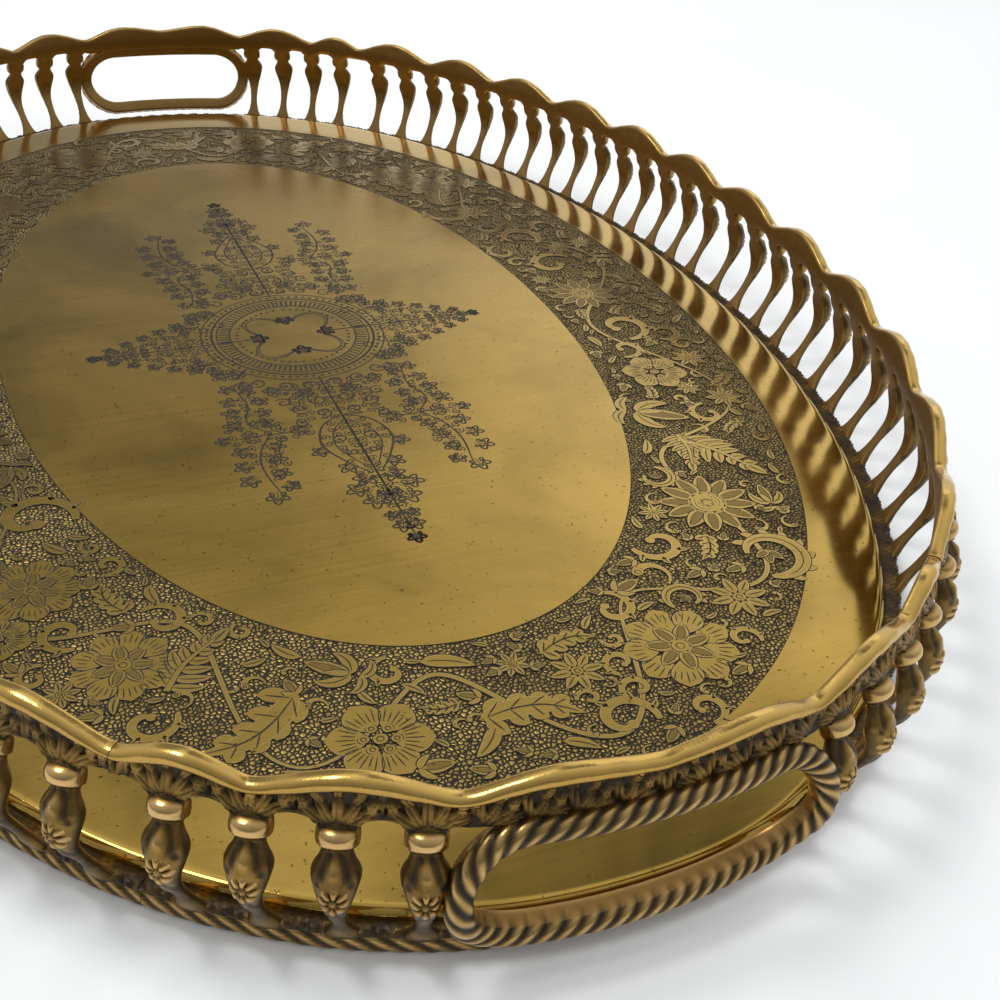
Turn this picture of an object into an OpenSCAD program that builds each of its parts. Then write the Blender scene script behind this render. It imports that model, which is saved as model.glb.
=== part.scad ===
// Oval brass serving tray: a flat sheet plate with a turned-down edge, ringed by a
// pierced cast gallery of vase-shaped balusters under a scalloped crest.
// The gallery is six castings: a handle section at each end and four side sections.
// X runs along the tray, Z is up, and the underside of the base rim is at Z = 0.

/* [Node] */
// Which sub-part to draw, or all of them

/* [Plate] */
// Half length of the plate, along X
plate_a = 288; // [200:1:320]
// Extra length of the plate at its +X end, which reaches closer to the gallery
plate_near = 2; // [0:0.1:4]
// Half width of the plate, along Y
plate_b = 186.5; // [120:0.5:220]
// Fullness of the oval: 2 is a plain ellipse
oval_n = 2.06; // [2:0.01:2.6]
// Height of the plate's top face above the table
plate_top = 10.5; // [8:0.1:16]
// Thickness of the sheet
sheet = 1.2; // [0.8:0.1:2]
// Depth of the turned-down edge below the top face
lip_depth = 2.5; // [2:0.1:6]
// Half length of the plain centre
band_in_a = 200.4; // [150:0.5:230]
// Half width of the plain centre
band_in_b = 109.1; // [80:0.5:140]
// Half length of the etched band's outer edge
band_out_a = 261.8; // [220:0.5:280]
// Half width of the etched band's outer edge
band_out_b = 165.9; // [140:0.5:180]
// Depth of the etched band's ground
etch = 0.25; // [0.1:0.05:0.5]

/* [Gallery] */
// Height of the crest at the low points between scallops
crest_low = 51.6; // [40:0.1:70]
// Height of the crest at the top of a scallop
crest_high = 58.4; // [45:0.1:75]
// Height where the balusters meet the crest
crest_under = 45.5; // [35:0.1:60]
// Scallops in one side section
scallops = 6; // [4:1:10]
// Height of the crest at the top of a handle section's short end scallops
crest_short = 56.6; // [45:0.1:75]
// Half length of a handle section, along the plate's edge
half_h = 107.5; // [95:0.5:125]
// Length of a handle section's four longer scallops
pitch_h = 39.8; // [34:0.1:46]
// How far the far handle sits round towards +Y from the middle of its end
far_shift = 6.9; // [0:0.1:15]
// Joint between the two +Y side sections, along the plate's edge from the near end's middle
right_joint = 382; // [360:1:400]
// Thickness of the cast wall
wall = 3.2; // [2:0.1:5]
// Inner face of the crest, outside the plate's edge
crest_in = 5; // [3:0.1:8]
// Thickness of the crest
crest_thick = 4.4; // [3:0.1:7]
// Inner face of the wall at its foot, outside the plate's edge
foot_in = 3.6; // [2:0.1:6]
// Inner face of the wall at its belly, outside the plate's edge
belly_in = 11.4; // [6:0.1:16]
// Height of the belly above the table
belly_h = 27.5; // [22:0.1:34]
// Gap left at each butt joint between castings
butt_gap = 0.1; // [0.05:0.05:0.5]
// How far every second strip of a casting is set back from its neighbours' faces
stagger = 0.15; // [0:0.01:0.4]

/* [Base rim] */
// Height of the roped base rim
rim_h = 6.4; // [4:0.1:9]
// How far the rim reaches inside the plate's edge
rim_in = 2.2; // [1:0.1:4]
// How far the rim stands outside the plate's edge
rim_out = 6.6; // [3:0.1:10]
// Top of the ledge that carries the plate and the balusters
ledge_top = 8; // [7:0.1:10]

/* [Balusters] */
// Balusters in one side section
side_count = 15; // [9:1:20]
// Distance from a side section's end to its first baluster axis
side_margin = 10.5; // [8:0.1:16]
// First baluster axis beside the handle ring, from the section's middle
ring_side = 46.3; // [42:0.1:56]
// Spacing of the other balusters in a handle section
handle_step = 16.4; // [14:0.1:24]
// Width of a baluster at its collar
collar_w = 8.4; // [6:0.1:12]
// Width of a baluster at its bulge
bulge_w = 9.6; // [7:0.1:14]
// Height of the bulge above the table
bulge_h = 34.4; // [30:0.1:35]
// Width of a baluster at its neck, under the collar
neck_w = 5.8; // [4:0.1:9]
// Width of a baluster at the thinnest place of its stem
stem_w = 3.2; // [2:0.1:6]

/* [Handle ring] */
// Half length of the hand hole
hole_l = 37.6; // [30:0.1:60]
// Height of the hand hole
hole_h = 23.6; // [18:0.1:32]
// Height of the hole's middle above the table
hole_mid = 28.8; // [20:0.1:40]
// Width of the roped ring around the hole
ring_w = 6.3; // [4:0.1:9]
// How far the ring stands proud of the wall
ring_proud = 2.6; // [1:0.1:5]

/* [Hidden] */
$fn = 32;
steps = 720;
// Point on the plate's edge at parameter t, in degrees.
function edge(t) = [
    plate_a * sign(cos(t)) * pow(abs(cos(t)), 2 / oval_n),
    plate_b * sign(sin(t)) * pow(abs(sin(t)), 2 / oval_n)];
// Outward direction of the oval at a point, in degrees.
function facing(p) = atan2(
    sign(p[1]) * pow(abs(p[1]) / plate_b, oval_n - 1) / plate_b,
    sign(p[0]) * pow(abs(p[0]) / plate_a, oval_n - 1) / plate_a);
// Length along the plate's edge against parameter, from the middle of the near end.
track = [for (i = 0, s = 0; i <= steps;
    s = s + norm(edge((i + 1) * 360 / steps) - edge(i * 360 / steps)), i = i + 1)
    [s, i * 360 / steps]];
round_len = track[steps][0];
function wrap(s) = s < 0 ? s + round_len : s > round_len ? s - round_len : s;
function at(s) = edge(lookup(wrap(s), track));
function out_at(s, d) = at(s) + d * [cos(facing(at(s))), sin(facing(at(s)))];
// Radius of curvature, from the plain ellipse.
function radius(s) = let (t = lookup(wrap(s), track))
    pow(pow(plate_a * sin(t), 2) + pow(plate_b * cos(t), 2), 1.5) / (plate_a * plate_b);

far_mid = round_len / 2 - far_shift;
left_joint = (far_mid + round_len) / 2;

// Flats along one strip of crest.
crest_steps = 4;
// One scallop from 0 to 1.
function wave(x) = pow(abs(sin(180 * x)), 1.25);
function handle_crest(x) = x < 2 * pitch_h
    ? crest_low + (crest_high - crest_low) * wave(x / pitch_h)
    : crest_low + (crest_short - crest_low) * wave((x - 2 * pitch_h) / (half_h - 2 * pitch_h));
// Height of the crest at distance d into a side section of the given length. In a handle
// section, whose length is given as 0, d is measured from its middle.
function crest(d, length) = length > 0
    ? crest_low + (crest_high - crest_low) * wave(d * scallops / length)
    : handle_crest(abs(d));

// The wall's bowed profile: height, and offset of the inner face from the plate's edge.
bow = [[ledge_top - 0.5, foot_in], [(ledge_top + belly_h) / 2, (foot_in + belly_in) / 2 + 0.2],
    [belly_h, belly_in], [(belly_h + crest_under) / 2, belly_in - 1.7],
    [crest_under + 1, crest_in + 1.2]];

// Half widths of a baluster's outline against height, in the wall's four flat bands.
outline = [
    [[ledge_top - 0.5, 4.2], [ledge_top + 2.5, 2.4], [18.5, stem_w / 2]],
    [[16.5, stem_w / 2], [22, stem_w / 2 + 0.3], [belly_h + 0.4, 2.8]],
    [[belly_h - 0.4, 2.7], [32.5, bulge_w / 2 - 1.1], [37, 3.5]],
    [[36, 3.6], [38.6, neck_w / 2], [40.2, neck_w / 2 + 0.3], [44.4, neck_w / 2 + 0.3],
        [crest_under + 1, 5.6]]];

// Carries its children to the wall's band i at distance s round the edge: X outward
// from the inner face, Y along the wall, Z up the band from its lower edge.
module on_band(s, i) {
    p = at(s);
    translate([p[0], p[1], 0])
        rotate([0, 0, facing(p)])
            translate([bow[i][1], 0, bow[i][0]])
                rotate([0, atan2(bow[i + 1][1] - bow[i][1], bow[i + 1][0] - bow[i][0]), 0])
                    children();
}

// Length along band i of a height above the table.
function up(i, h) = (h - bow[i][0]) * norm(bow[i + 1] - bow[i]) / (bow[i + 1][0] - bow[i][0]);

// Flat sheet standing on band i, from its inner face outward. back sets both its faces in.
module sheet_on(s, i, thick, back = 0) {
    on_band(s, i)
        translate([back, 0, 0])
            rotate([90, 0, 90])
                linear_extrude(thick - 2 * back)
                    children();
}

// Upright crest strip, from -lo to +hi about its axis. d is the distance into the scallops,
// and back sets all its faces in.
module crest_strip(s, lo, hi, d, length, back) {
    p = at(s);
    translate([p[0], p[1], 0])
        rotate([0, 0, facing(p)])
            translate([crest_in + back, 0, 0])
                rotate([90, 0, 90])
                    linear_extrude(crest_thick - 2 * back)
                        polygon(concat(
                            [for (i = [0 : crest_steps])
                                let (x = hi - (hi + lo) * i / crest_steps)
                                    [x, crest(d + x, length) - back]],
                            [[-lo, crest_under + back], [hi, crest_under + back]]));
}

// Closed outline of part of the oval between two offsets from the plate's edge.
module sector(s0, s1, d0, d1, n) {
    polygon(concat(
        [for (i = [0 : n]) out_at(s0 + (s1 - s0) * i / n, d1)],
        [for (i = [n : -1 : 0]) out_at(s0 + (s1 - s0) * i / n, d0)]));
}

// Rim and ledge under a casting.
module footing(s0, s1, n) {
    a = s0 + butt_gap / 2;
    b = s1 - butt_gap / 2;
    linear_extrude(rim_h)
        sector(a, b, 1 - rim_in, rim_out - 1.4, n);
    translate([0, 0, rim_h - 0.4])
        linear_extrude(ledge_top - rim_h + 0.4)
            sector(a, b, -rim_in, rim_out, n);
}

// A baluster: a bowed web with a collar, a body and a flower raised on its outer face.
module baluster(s) {
    for (i = [0 : 3])
        sheet_on(s, i, wall)
            polygon(concat(
                [for (p = outline[i]) [p[1], up(i, p[0])]],
                [for (k = [len(outline[i]) - 1 : -1 : 0])
                    [-outline[i][k][1], up(i, outline[i][k][0])]]));
    on_band(s, 3)
        translate([wall + 0.4, 0, up(3, 42.1)])
            rotate([90, 0, 0])
                cylinder(h = collar_w, r = 2.3, center = true);
    on_band(s, 2)
        translate([wall - 0.4, 0, -0.3])
            cylinder(h = up(2, bulge_h) + 1.5, r1 = 3.6, r2 = bulge_w / 2 - 0.3);
    on_band(s, 1)
        translate([wall - 0.4, 0, 0.4])
            cylinder(h = up(1, belly_h + 0.5), r1 = stem_w / 2 + 0.5, r2 = 3.7);
    on_band(s, 2)
        translate([wall, 0, up(2, 30.7)])
            rotate([0, 90, 0])
                cylinder(h = 4.6, r = 3.6);
}

// One strip of a casting, with its baluster.
module bay(s, lo, hi, d, length, back) {
    crest_strip(s, lo, hi, d, length, back);
    baluster(s);
}

// Half width that a strip needs so that it meets its neighbour on the outside of the bend.
function reach(s, half) = half * (1 + 10 / radius(s)) + 0.15;

module side_section(s0, length) {
    footing(s0, s0 + length, 24);
    step = (length - 2 * side_margin) / (side_count - 1);
    for (i = [0 : side_count - 1]) {
        d = side_margin + i * step;
        s = s0 + d;
        lo = i == 0 ? side_margin - butt_gap : reach(s, step / 2);
        hi = i == side_count - 1 ? side_margin - butt_gap : reach(s, step / 2);
        bay(s, lo, hi, d, length, i % 2 * stagger);
    }
}

// Half length at height h of a round-ended slot of half height r whose ends centre on x.
function slot_half(h, x, r) = x + sqrt(max(0, r * r - pow(h - hole_mid, 2)));

// One end of the roped ring, as a bowed plate round the end of the hand hole.
module ring_end(s, side) {
    r_in = hole_h / 2;
    r_out = r_in + ring_w;
    x = hole_l - r_in;
    mid = side * (x + r_out / 2);
    steps = 4;
    for (i = [0 : 3]) {
        lo = max(bow[i][0] - (i > 0 ? 0.4 : 0), hole_mid - r_out + 0.4);
        hi = min(bow[i + 1][0] + (i < 3 ? 0.4 : 0), hole_mid + r_out - 0.4);
        sheet_on(s + mid, i, wall + ring_proud)
            polygon(concat(
                [for (k = [0 : steps]) let (h = lo + (hi - lo) * k / steps)
                    [side * slot_half(h, x, r_out) - mid, up(i, h)]],
                [for (k = [steps : -1 : 0]) let (h = lo + (hi - lo) * k / steps)
                    [side * slot_half(h, x, r_in) - mid, up(i, h)]]));
    }
}

module handle_section(s0) {
    footing(s0 - half_h, s0 + half_h, 24);
    // Balusters each side of the ring, counted outward.
    for (side = [-1, 1])
        for (i = [0 : 3]) {
            x = ring_side + i * handle_step;
            s = s0 + side * x;
            inner = reach(s, i == 0 ? ring_side - hole_l : handle_step / 2);
            outer = i == 3 ? half_h - x - butt_gap : reach(s, handle_step / 2);
            bay(s, side > 0 ? inner : outer, side > 0 ? outer : inner,
                side * x, 0, (i + 1) % 2 * stagger);
        }
    for (side = [-1, 1])
        ring_end(s0, side);
    // Crest and the ring's two bars, in short strips that follow the bend.
    count = 7;
    r_in = hole_h / 2;
    for (i = [0 : count - 1]) {
        mid = -hole_l + hole_l / count * (2 * i + 1);
        half = reach(s0 + mid, hole_l / count);
        crest_strip(s0 + mid, half, half, mid, 0, i % 2 * stagger);
    }
    bars = 4;
    x = hole_l - r_in;
    for (i = [0 : bars - 1]) {
        mid = -x + x / bars * (2 * i + 1);
        half = reach(s0 + mid, x / bars) + 0.3;
        sheet_on(s0 + mid, 3, wall + ring_proud, (i % 2 + 1) * stagger)
            translate([-half, up(3, hole_mid + r_in)])
                square([2 * half, up(3, crest_under + 1) - up(3, hole_mid + r_in)]);
        sheet_on(s0 + mid, 0, wall + ring_proud, (i % 2 + 1) * stagger)
            translate([-half, up(0, hole_mid - r_in - ring_w)])
                square([2 * half, up(0, hole_mid - r_in) - up(0, hole_mid - r_in - ring_w)]);
    }
}

// Oval prism of half axes a and b, stretched at its +X end.
module oval(a, b, h, near = 0) {
    linear_extrude(h)
        polygon([for (i = [0 : 119]) let (e = edge(i * 3))
            [e[0] * (a + (e[0] > 0 ? near : 0)) / plate_a, e[1] * b / plate_b]]);
}

module plate_blank() {
    translate([0, 0, plate_top - lip_depth])
        oval(plate_a, plate_b, lip_depth - 0.8, plate_near);
    translate([0, 0, plate_top - 0.9])
        oval(plate_a - 0.4, plate_b - 0.4, 0.5, plate_near);
    translate([0, 0, plate_top - 0.5])
        oval(plate_a - 1, plate_b - 1, 0.5, plate_near);
}

module tray_plate() {
    color([0.71, 0.56, 0.27])
        difference() {
            plate_blank();
            // Hollow inside the turned-down edge.
            translate([0, 0, plate_top - lip_depth - 1])
                oval(plate_a - sheet, plate_b - sheet, lip_depth + 1 - sheet, plate_near);
            // Etched band, a shallow recess round the plain centre.
            difference() {
                translate([0, 0, plate_top - etch])
                    oval(band_out_a, band_out_b, 1);
                translate([0, 0, plate_top - etch - 1])
                    oval(band_in_a, band_in_b, 3);
            }
        }
}

module gallery_handle_near() {
    color([0.66, 0.50, 0.24])
        handle_section(0);
}

module gallery_handle_far() {
    color([0.66, 0.50, 0.24])
        handle_section(far_mid);
}

module gallery_side_near_right() {
    color([0.58, 0.44, 0.20])
        side_section(half_h, right_joint - half_h);
}

module gallery_side_far_right() {
    color([0.62, 0.47, 0.22])
        side_section(right_joint, far_mid - half_h - right_joint);
}

module gallery_side_far_left() {
    color([0.58, 0.44, 0.20])
        side_section(far_mid + half_h, left_joint - far_mid - half_h);
}

module gallery_side_near_left() {
    color([0.62, 0.47, 0.22])
        side_section(left_joint, round_len - half_h - left_joint);
}

tray_plate();
gallery_handle_near();
gallery_handle_far();
gallery_side_near_right();
gallery_side_far_right();
gallery_side_near_left();
gallery_side_far_left();
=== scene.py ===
import math

import bmesh
import bpy
import numpy as np
from mathutils import Matrix, Vector


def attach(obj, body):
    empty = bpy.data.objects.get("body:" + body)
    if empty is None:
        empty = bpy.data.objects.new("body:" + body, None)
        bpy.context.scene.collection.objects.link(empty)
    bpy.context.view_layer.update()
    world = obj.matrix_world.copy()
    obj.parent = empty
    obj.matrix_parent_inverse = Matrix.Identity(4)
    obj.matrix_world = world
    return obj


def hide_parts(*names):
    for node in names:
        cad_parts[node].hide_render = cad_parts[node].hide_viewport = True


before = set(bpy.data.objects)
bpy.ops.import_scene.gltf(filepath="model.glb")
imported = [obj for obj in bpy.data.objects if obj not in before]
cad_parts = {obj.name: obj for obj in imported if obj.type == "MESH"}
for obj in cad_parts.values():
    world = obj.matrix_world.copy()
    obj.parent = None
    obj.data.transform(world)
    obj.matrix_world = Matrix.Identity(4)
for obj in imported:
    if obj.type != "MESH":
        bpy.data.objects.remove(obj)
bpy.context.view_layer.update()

# Shapes are worked out in millimetres, in the part's own frame, and scaled when made into a mesh.
MM = 0.001
TAU = 2 * math.pi
rng = np.random.default_rng(11)

# ---------------------------------------------------------------- the oval and the bowed wall
PLATE_A, PLATE_B, OVAL_N = 288.0, 186.5, 2.06
# The plate's +X end reaches a little further than the oval.
NEAR_EXTRA = 2.0
PLATE_TOP = 10.5
BAND_IN = (200.4, 109.1)
BAND_OUT = (261.8, 165.9)
BAND_WIDTH = 58.0
ETCH = 0.25
GROUND = PLATE_TOP - ETCH
# Underside of the sheet, radius of its rolled edge and foot of its turned-down edge.
UNDERSIDE, EDGE_R, LIP = 9.3, 2.4, 8.0


def edge(t):
    """Point of the plate's edge at parameter t."""
    c, s = np.cos(t), np.sin(t)
    return (PLATE_A * np.sign(c) * np.abs(c) ** (2 / OVAL_N),
            PLATE_B * np.sign(s) * np.abs(s) ** (2 / OVAL_N))


TRACK_T = np.linspace(0, TAU, 5761)
_x, _y = edge(TRACK_T)
TRACK_S = np.concatenate([[0], np.cumsum(np.hypot(np.diff(_x), np.diff(_y)))])
LENGTH = TRACK_S[-1]


def at(s):
    """Point of the plate's edge at distance s from the +X end's middle, and its outward normal."""
    t = np.interp(np.mod(s, LENGTH), TRACK_S, TRACK_T)
    x, y = edge(t)
    nx = np.sign(x) * np.abs(x / PLATE_A) ** (OVAL_N - 1) / PLATE_A
    ny = np.sign(y) * np.abs(y / PLATE_B) ** (OVAL_N - 1) / PLATE_B
    k = np.hypot(nx, ny)
    return x, y, nx / k, ny / k


def table(points, blur=0.0, step=0.05):
    """A smooth function through a few (x, y) points."""
    p = np.array(points, float)
    x = np.arange(p[0, 0], p[-1, 0] + step, step)
    y = np.interp(x, p[:, 0], p[:, 1])
    if blur:
        k = np.exp(-0.5 * (np.arange(-3 * blur, 3 * blur + step, step) / blur) ** 2)
        pad = len(k) // 2
        y = np.convolve(np.pad(y, pad, mode="edge"), k / k.sum(), mode="valid")[:len(x)]
    return lambda q: np.interp(q, x, y)


# Inner face of the wall outside the plate's edge, against height.
bow = table([(2, 1.6), (8, 3.8), (17.75, 8.4), (24, 11.2), (29, 11.6), (36.5, 9.8), (46, 6.2),
    (50, 5.1), (64, 5.0)], 1.4)


def off_edge(s, d, z):
    x, y, nx, ny = at(s)
    return np.stack(np.broadcast_arrays(x + nx * d, y + ny * d, z), -1)


def wall(s, h, t):
    """Point t outward from the wall's inner face, at distance s round the edge and height h."""
    s, h, t = np.broadcast_arrays(s, h, t)
    x, y, nx, ny = at(s)
    d = bow(h + 0.5) - bow(h - 0.5)
    k = 1 / np.sqrt(1 + d * d)
    r = bow(h) + t * k
    return np.stack([x + nx * r, y + ny * r, h - t * d * k], -1)


# Crest heights: valleys, and peaks over the sides, the handles and their short end scallops.
CREST_LOW, CREST_HIGH, CREST_HANDLE, CREST_SHORT = 51.6, 58.0, 57.2, 56.4
# Half length of a handle section and length of its longer scallops.
HALF_H, PITCH_H = 107.5, 39.8
FAR_MID = LENGTH / 2 - 6.9
RIGHT_JOINT = 382.0
LEFT_JOINT = (FAR_MID + LENGTH) / 2
# Scallops and balusters of a side section, and distance from its ends to its end balusters.
SCALLOPS = 6
SIDE_COUNT, SIDE_MARGIN = 15, 10.5
# First baluster beside the hand hole, and the step to the next ones.
RING_SIDE, HANDLE_STEP = 46.3, 16.4
# Space left at each end of a section.
GAP = 0.05


def side_scallops(length):
    """Gives the scallop count and the peak height at distance d into a side section."""
    return lambda d: (d * SCALLOPS / length, CREST_HIGH + 0 * d)


def handle_scallops(d):
    """The same for a handle section, whose two end scallops are shorter."""
    x = np.abs(d - HALF_H)
    near = x < 2 * PITCH_H
    return (np.where(near, x / PITCH_H, (x - 2 * PITCH_H) / (HALF_H - 2 * PITCH_H)),
            np.where(near, CREST_HANDLE, CREST_SHORT))


def crest(count, high, lift=0.0):
    """Height of the crest. lift raises the valley between two scallops."""
    wave = np.abs(np.sin(np.pi * count))
    return CREST_LOW + lift + (high - CREST_LOW - lift) * (wave ** 2 + 0.02) ** 0.62


def middle_lift(d, length, ring):
    """The valley over the middle of a hand hole is shallow."""
    return 0 * d if ring is None else 3.0 * np.exp(-((d - length / 2) / 24) ** 2)


# ---------------------------------------------------------------- mesh building
def new_object(name, data):
    obj = bpy.data.objects.new(name, data)
    bpy.context.scene.collection.objects.link(obj)
    return obj


class Build:
    """Collects vertices, faces and one value a vertex for a single piece: mostly wear, and on the
    bead also painted highlight and shade.
    """

    def __init__(self):
        self.v, self.w, self.f, self.m = [], [], [], []
        self.n = 0

    def add(self, points, wear_and_shade):
        points = np.asarray(points, float).reshape(-1, 3)
        start = self.n
        self.v.append(points)
        self.w.append(np.broadcast_to(np.asarray(wear_and_shade, float).reshape(-1)
            if np.ndim(wear_and_shade) else wear_and_shade, (len(points),)))
        self.n += len(points)
        return start

    def faces(self, quads, mat=0):
        quads = np.asarray(quads)
        shape = quads.shape[:-1]
        self.f.extend(quads.reshape(-1, quads.shape[-1]).tolist())
        self.m.extend(np.broadcast_to(mat, shape).ravel().tolist())

    def grid(self, points, wear_and_shade, mat=0, around=False, caps=False):
        """A sheet of (rows, columns) points; around closes the rows, caps fills the end rows."""
        rows, cols = points.shape[:2]
        start = self.add(points, wear_and_shade)
        idx = start + np.arange(rows * cols).reshape(rows, cols)
        if around:
            idx = np.concatenate([idx, idx[:, :1]], 1)
        a, b, c, d = idx[:-1, :-1], idx[:-1, 1:], idx[1:, 1:], idx[1:, :-1]
        self.faces(np.stack([a, b, c, d], -1), mat)
        if caps:
            for row, turn in ((0, 1), (rows - 1, -1)):
                ring = start + row * cols + np.arange(cols)
                mid = self.add(points[row].mean(0)[None], float(np.mean(self.w[-1])))
                nxt = np.roll(ring, -1)
                tri = np.stack([ring, nxt, np.full(cols, mid)][::turn], -1)
                self.faces(tri, int(np.ravel(mat)[0]))
        return idx

    def ribbon(self, points, mats):
        """A strip of (rows, columns) points facing up, with one material for each gap."""
        n, c = points.shape[:2]
        idx = self.add(points, 0.5) + np.arange(n * c).reshape(n, c)
        for j in range(c - 1):
            ends = [idx[:-1, j], idx[1:, j], idx[1:, j + 1], idx[:-1, j + 1]]
            self.faces(np.stack(ends, -1), mats[j])

    def piece(self, name, mats, node=None, slot=None, recalc=True, sharp=40):
        mesh = bpy.data.meshes.new(name)
        v = np.concatenate(self.v) * MM
        mesh.from_pydata(v.tolist(), [], self.f)
        attr = mesh.attributes.new("wear_and_shade", "FLOAT", "POINT")
        attr.data.foreach_set("value", np.concatenate(self.w).astype(np.float32))
        for m in mats:
            mesh.materials.append(m)
        mesh.polygons.foreach_set("material_index", np.array(self.m, np.int32))
        mesh.update()
        if recalc:
            bm = bmesh.new()
            bm.from_mesh(mesh)
            bmesh.ops.recalc_face_normals(bm, faces=bm.faces)
            bm.to_mesh(mesh)
            bm.free()
        mesh.polygons.foreach_set("use_smooth", np.ones(len(mesh.polygons), bool))
        mesh.set_sharp_from_angle(angle=math.radians(sharp))
        obj = new_object(name, mesh)
        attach(obj, "root")
        if node:
            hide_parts(node)
        return obj


# ---------------------------------------------------------------- materials
class Nodes:
    """A material's or the world's node tree, with short calls for the nodes used here."""

    def __init__(self, name, data=None, shader="Principled BSDF"):
        self.mat = data or bpy.data.materials.new(name)
        self.mat.use_nodes = True
        self.tree = self.mat.node_tree
        self.bsdf = self.tree.nodes[shader]

    def new(self, kind, **sets):
        n = self.tree.nodes.new(kind)
        for k, v in sets.items():
            if hasattr(n, k):
                setattr(n, k, v)
            else:
                n.inputs[k.replace("_", " ")].default_value = v
        return n

    def link(self, a, b):
        self.tree.links.new(a, b)

    def give(self, **values):
        """Links or sets the shader's sockets, named with _ for a space."""
        for k, v in values.items():
            socket = self.bsdf.inputs[k.replace("_", " ")]
            if isinstance(v, (int, float)):
                socket.default_value = v
            else:
                self.link(v, socket)

    def swing(self, fac, size):
        """fac spread about zero by size."""
        return self.math("MULTIPLY", self.math("SUBTRACT", fac, 0.5), size)

    def coords(self, scale=(1, 1, 1)):
        tc = self.new("ShaderNodeTexCoord")
        mp = self.new("ShaderNodeMapping", Scale=scale)
        self.link(tc.outputs["Object"], mp.inputs["Vector"])
        return mp.outputs["Vector"]

    def noise(self, vector, scale, detail=3.0, rough=0.5, distortion=0.0):
        n = self.new("ShaderNodeTexNoise", Scale=scale, Detail=detail, Roughness=rough,
                     Distortion=distortion)
        self.link(vector, n.inputs["Vector"])
        return n.outputs["Fac"]

    def ramp(self, fac, stops):
        n = self.new("ShaderNodeValToRGB")
        els = n.color_ramp.elements
        while len(els) < len(stops):
            els.new(0.5)
        for el, (pos, col) in zip(els, stops):
            el.position = pos
            el.color = (*col, 1) if isinstance(col, tuple) else (col, col, col, 1)
        self.link(fac, n.inputs["Fac"])
        return n.outputs["Color"]

    def math(self, op, a, b=None, clamp=False):
        n = self.new("ShaderNodeMath", operation=op, use_clamp=clamp)
        for i, v in enumerate((a, b)):
            if v is None:
                continue
            if isinstance(v, (int, float)):
                n.inputs[i].default_value = v
            else:
                self.link(v, n.inputs[i])
        return n.outputs[0]

    def mix(self, fac, a, b, mode="MIX"):
        n = self.new("ShaderNodeMix", data_type="RGBA", blend_type=mode)
        if isinstance(fac, (int, float)):
            n.inputs["Factor"].default_value = fac
        else:
            self.link(fac, n.inputs["Factor"])
        for key, v in ((6, a), (7, b)):
            if isinstance(v, tuple):
                n.inputs[key].default_value = (*v, 1)
            else:
                self.link(v, n.inputs[key])
        return n.outputs[2]

    def bump(self, height, distance, strength, after=None):
        n = self.new("ShaderNodeBump", Strength=strength, Distance=distance)
        self.link(height, n.inputs["Height"])
        if after is not None:
            self.link(after, n.inputs["Normal"])
        return n.outputs["Normal"]

    def attribute(self, name):
        n = self.new("ShaderNodeAttribute", attribute_name=name)
        return n.outputs["Fac"]


# How much smoother the polished plain rim of the plate is than its satin middle.
POLISH = 0.10


def sheet_brass(name, base, rough, tarnish=0.35):
    """Satin sheet brass: drawn grain, clouded lacquer and pits, polished where wear is high."""
    m = Nodes(name)
    m.give(Metallic=1.0)
    xyz = m.coords()
    cloud = m.noise(xyz, 14, 4, 0.55, 0.6)
    streak = m.noise(m.coords((700, 9, 60)), 1.0, 3, 0.6)
    pits = m.noise(xyz, 620, 2, 0.6)
    dark = tuple(c * (1 - tarnish) for c in base)
    light = tuple(min(1, c * 1.12) for c in base)
    tone = m.ramp(cloud, [(0.3, dark), (0.52, base), (0.75, light)])
    fine = m.ramp(streak, [(0.3, 0.93), (0.6, 1.0)])
    col = m.mix(1.0, tone, fine, "MULTIPLY")
    spots = m.ramp(pits, [(0.27, 0.35), (0.33, 1.0)])
    col = m.mix(1.0, col, spots, "MULTIPLY")
    m.give(Base_Color=col)
    r = m.math("ADD", m.swing(cloud, 0.22), rough)
    r = m.math("ADD", r, m.swing(streak, 0.06))
    polish = m.math("MULTIPLY", m.math("SUBTRACT", m.attribute("wear_and_shade"), 0.5, clamp=True),
        2 * POLISH)
    r = m.math("SUBTRACT", r, polish, clamp=True)
    m.give(Roughness=r)
    n1 = m.bump(streak, 0.00002, 0.14)
    n2 = m.bump(m.noise(xyz, 9, 2, 0.5), 0.0006, 0.35, n1)
    n3 = m.bump(spots, 0.00003, 0.5, n2)
    m.give(Normal=n3)
    return m.mat


def pebble_ground(name):
    """The etched ground: small rounded pebbles standing in dark oxide."""
    m = Nodes(name)
    xyz = m.coords((1, 1, 0))
    warp = m.new("ShaderNodeVectorMath", operation="ADD")
    m.link(xyz, warp.inputs[0])
    nz = m.new("ShaderNodeTexNoise", Scale=260, Detail=1)
    m.link(xyz, nz.inputs["Vector"])
    sc = m.new("ShaderNodeVectorMath", operation="SCALE", Scale=0.0011)
    m.link(nz.outputs["Color"], sc.inputs[0])
    m.link(sc.outputs[0], warp.inputs[1])
    vor = m.new("ShaderNodeTexVoronoi", feature="DISTANCE_TO_EDGE", Scale=760, Randomness=0.85)
    m.link(warp.outputs[0], vor.inputs["Vector"])
    near = vor.outputs["Distance"]
    cells = m.ramp(near, [(0.12, 0.0), (0.26, 1.0)])
    cloud = m.noise(xyz, 30, 3)
    tone = m.ramp(cloud, [(0.3, (0.32, 0.21, 0.058)), (0.7, (0.58, 0.40, 0.125))])
    col = m.mix(cells, (0.022, 0.015, 0.006), tone)
    m.give(Base_Color=col)
    m.give(Metallic=m.ramp(cells, [(0.0, 0.35), (0.7, 1.0)]))
    m.give(Roughness=m.ramp(cells, [(0.0, 0.75), (1.0, 0.40)]))
    m.give(Normal=m.bump(m.ramp(near, [(0.0, 0.0), (0.35, 1.0)]), 0.00028, 0.8))
    return m.mat


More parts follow.
